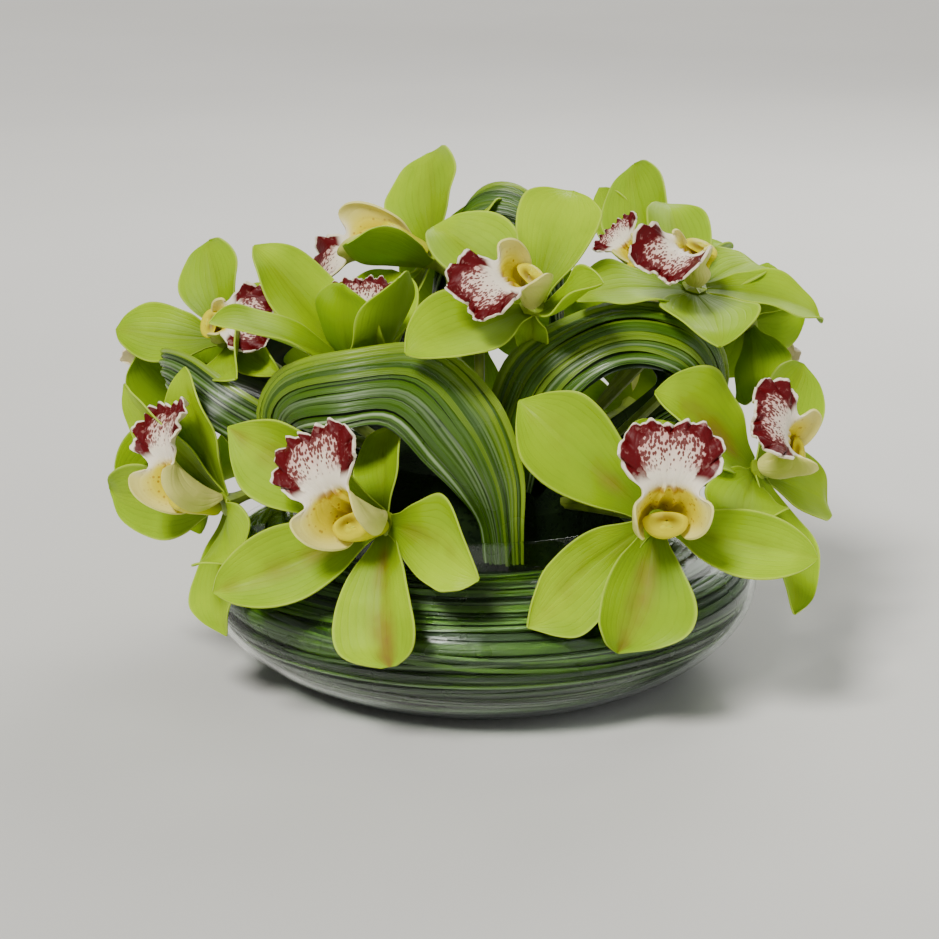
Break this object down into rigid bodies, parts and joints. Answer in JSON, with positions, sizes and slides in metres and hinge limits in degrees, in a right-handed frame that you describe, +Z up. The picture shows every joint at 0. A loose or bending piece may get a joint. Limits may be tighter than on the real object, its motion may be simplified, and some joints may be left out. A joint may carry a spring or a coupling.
{
  "type": "cymbidium orchid bowl arrangement",
  "caption": "Low round clear glass bowl of open green cymbidium orchid blooms, with grass blades coiled inside the glass and bent over in loops between the blooms.",
  "frame": {"origin": "middle of the bowl's flat base, on the surface it stands on", "axes": "+Z up, -Y towards the front of the arrangement, +X to its right as seen from the front"},
  "size_m": [0.297, 0.2446, 0.2027],
  "materials": {
    "clear_glass": "clear, polished",
    "grass_blades": "dark green leaf with pale streaks, satin",
    "wet_foam": "dark green wet foam, matt",
    "tepals": "yellow-green petal, waxy",
    "lip": "cream petal with a burgundy band, waxy",
    "column": "yellow, waxy"
  },
  "bodies": {
    "root": {"glass_bowl": "clear_glass", "grass_coil": "grass_blades", "foam_core": "wet_foam", "grass_loop_front": "grass_blades", "grass_loop_right": "grass_blades", "grass_loop_left": "grass_blades", "grass_loop_top": "grass_blades", "grass_loop_back_right": "grass_blades", "grass_loop_back_left": "grass_blades", "bloom_front_right_tepals": "tepals", "bloom_front_right_lip": "lip", "bloom_front_right_column": "column", "bloom_front_left_tepals": "tepals", "bloom_front_left_lip": "lip", "bloom_front_left_column": "column", "bloom_left_tepals": "tepals", "bloom_left_lip": "lip", "bloom_left_column": "column", "bloom_right_tepals": "tepals", "bloom_right_lip": "lip", "bloom_right_column": "column", "bloom_top_front_tepals": "tepals", "bloom_top_front_lip": "lip", "bloom_top_front_column": "column", "bloom_upper_left_tepals": "tepals", "bloom_upper_left_lip": "lip", "bloom_upper_left_column": "column", "bloom_upper_middle_tepals": "tepals", "bloom_upper_middle_lip": "lip", "bloom_upper_middle_column": "column", "bloom_top_left_tepals": "tepals", "bloom_top_left_lip": "lip", "bloom_top_left_column": "column", "bloom_upper_right_tepals": "tepals", "bloom_upper_right_lip": "lip", "bloom_upper_right_column": "column", "bloom_top_right_tepals": "tepals", "bloom_top_right_lip": "lip", "bloom_top_right_column": "column", "bloom_right_back_tepals": "tepals", "bloom_right_back_lip": "lip", "bloom_right_back_column": "column", "bloom_left_back_tepals": "tepals", "bloom_left_back_lip": "lip", "bloom_left_back_column": "column", "bloom_back_left_tepals": "tepals", "bloom_back_left_lip": "lip", "bloom_back_left_column": "column", "bloom_back_middle_tepals": "tepals", "bloom_back_middle_lip": "lip", "bloom_back_middle_column": "column", "bloom_back_right_tepals": "tepals", "bloom_back_right_lip": "lip", "bloom_back_right_column": "column"}
  },
  "joints": []
}
